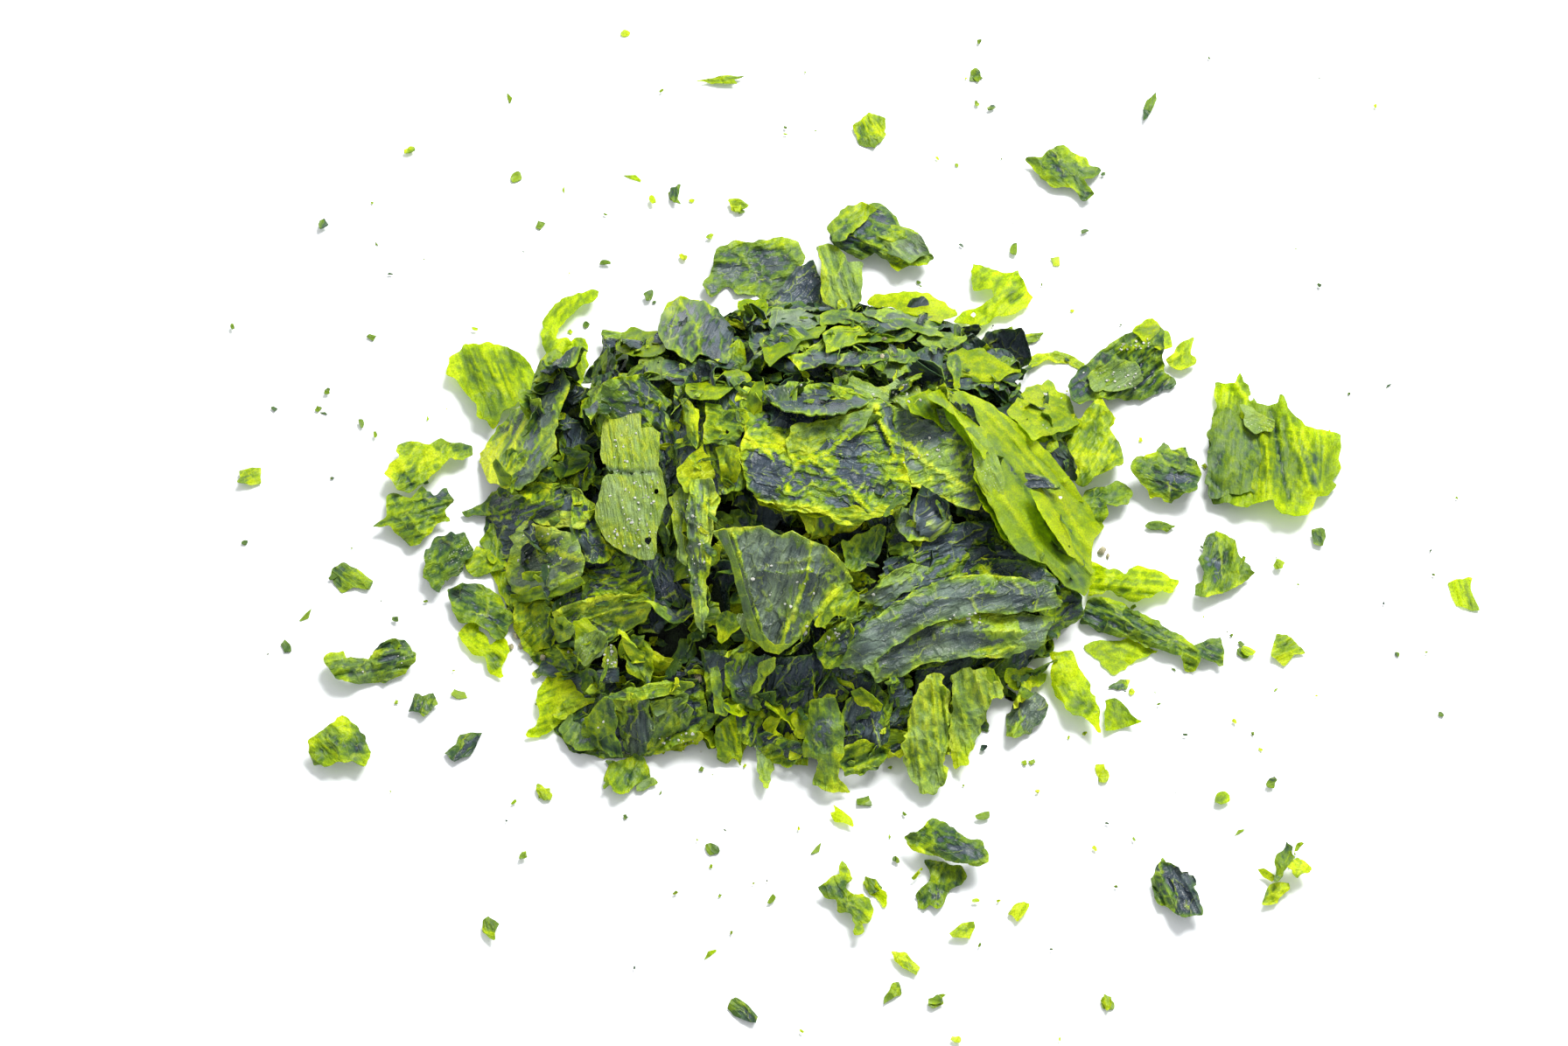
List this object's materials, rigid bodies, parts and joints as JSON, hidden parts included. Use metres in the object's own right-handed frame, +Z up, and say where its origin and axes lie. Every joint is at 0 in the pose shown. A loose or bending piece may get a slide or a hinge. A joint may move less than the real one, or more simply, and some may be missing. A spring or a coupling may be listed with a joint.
{
  "type": "dried sea lettuce",
  "caption": "Loose heap of torn, crumpled dried sea lettuce flakes, with smaller flakes and crumbs strewn round it on a table.",
  "frame": {"origin": "on the table, under the middle of the box round the heap and all its strewn flakes", "axes": "+Z up from the table; +X to the right and +Y away as the picture sees it, with the widest spread along X"},
  "size_m": [0.3082, 0.2831, 0.0408],
  "materials": {
    "pressed_leaf": "satin",
    "green_leaf": "satin",
    "bright_leaf": "satin"
  },
  "bodies": {
    "root": {"heap": "pressed_leaf", "long_fold_right": "green_leaf", "clump_right": "green_leaf", "chevron_back": "green_leaf", "clump_back": "green_leaf", "mottled_back": "green_leaf", "curled_sliver": "green_leaf", "fan_left": "green_leaf", "folded_left": "green_leaf", "layered_left": "green_leaf", "crinkled_left": "green_leaf", "green_left": "green_leaf", "bright_left": "green_leaf", "bright_fan_front": "green_leaf", "crumb_clump_front": "green_leaf", "bright_fold_right": "green_leaf", "curl_right": "green_leaf", "blade_right": "green_leaf", "small_fold_right": "green_leaf", "loose_flake_01": "bright_leaf", "loose_flake_02": "bright_leaf", "loose_flake_03": "bright_leaf", "loose_flake_04": "bright_leaf", "loose_flake_05": "bright_leaf", "loose_flake_06": "bright_leaf", "loose_flake_07": "bright_leaf", "loose_flake_08": "bright_leaf", "loose_flake_09": "bright_leaf", "loose_flake_10": "bright_leaf", "loose_flake_11": "bright_leaf", "loose_flake_12": "bright_leaf", "loose_flake_13": "bright_leaf", "loose_flake_14": "bright_leaf", "loose_flake_15": "bright_leaf", "loose_flake_16": "bright_leaf", "loose_flake_17": "bright_leaf", "loose_flake_18": "bright_leaf", "loose_flake_19": "bright_leaf", "loose_flake_20": "bright_leaf", "loose_flake_21": "bright_leaf", "loose_flake_22": "bright_leaf", "loose_flake_23": "bright_leaf", "loose_flake_24": "bright_leaf", "loose_flake_25": "bright_leaf", "loose_flake_26": "bright_leaf", "loose_flake_27": "bright_leaf", "loose_flake_28": "bright_leaf", "loose_flake_29": "bright_leaf", "loose_flake_30": "bright_leaf", "loose_flake_31": "bright_leaf", "loose_flake_32": "bright_leaf", "loose_flake_33": "bright_leaf", "loose_flake_34": "bright_leaf", "loose_flake_35": "bright_leaf", "loose_flake_36": "bright_leaf", "loose_flake_37": "bright_leaf", "loose_flake_38": "bright_leaf", "loose_flake_39": "bright_leaf", "loose_flake_40": "bright_leaf"}
  },
  "joints": []
}
